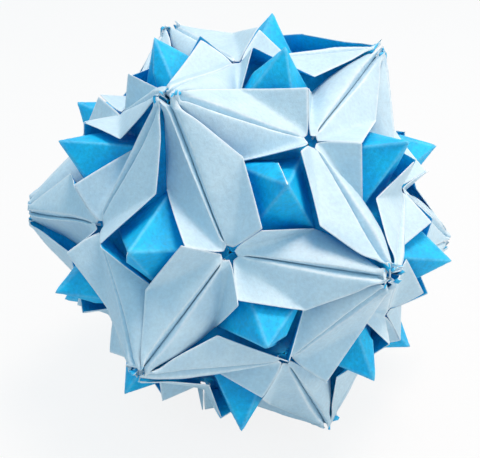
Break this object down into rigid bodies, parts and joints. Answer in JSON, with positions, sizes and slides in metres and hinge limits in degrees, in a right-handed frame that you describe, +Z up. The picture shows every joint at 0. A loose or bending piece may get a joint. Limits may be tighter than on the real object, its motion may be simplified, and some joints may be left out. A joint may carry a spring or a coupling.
{
  "type": "kusudama paper ball",
  "caption": "Hollow modular origami ball of folded two-tone blue paper units, each with a small pyramid in a window between four pale flaps.",
  "frame": {"origin": "on the surface the ball stands on, straight under its middle", "axes": "+Z up through a hole where units meet, -Y towards the side that the picture shows, +X to the right of it"},
  "size_m": [0.1154, 0.1148, 0.1075],
  "materials": {
    "pale_paper": "matte pale blue outer side of the two-tone paper",
    "blue_paper": "matte bright blue inner side of the same sheets"
  },
  "bodies": {
    "root": {"unit_01": "pale_paper", "unit_02": "pale_paper", "unit_03": "pale_paper", "unit_04": "pale_paper", "unit_05": "pale_paper", "unit_06": "pale_paper", "unit_07": "pale_paper", "unit_08": "pale_paper", "unit_09": "pale_paper", "unit_10": "pale_paper", "unit_11": "pale_paper", "unit_12": "pale_paper", "unit_13": "pale_paper", "unit_14": "pale_paper", "unit_15": "pale_paper", "unit_16": "pale_paper", "unit_17": "pale_paper", "unit_18": "pale_paper", "unit_19": "pale_paper", "unit_20": "pale_paper", "unit_21": "pale_paper", "unit_22": "pale_paper", "unit_23": "pale_paper", "unit_24": "pale_paper", "unit_25": "pale_paper", "unit_26": "pale_paper", "unit_27": "pale_paper", "unit_28": "pale_paper", "unit_29": "pale_paper", "unit_30": "pale_paper"}
  },
  "joints": []
}
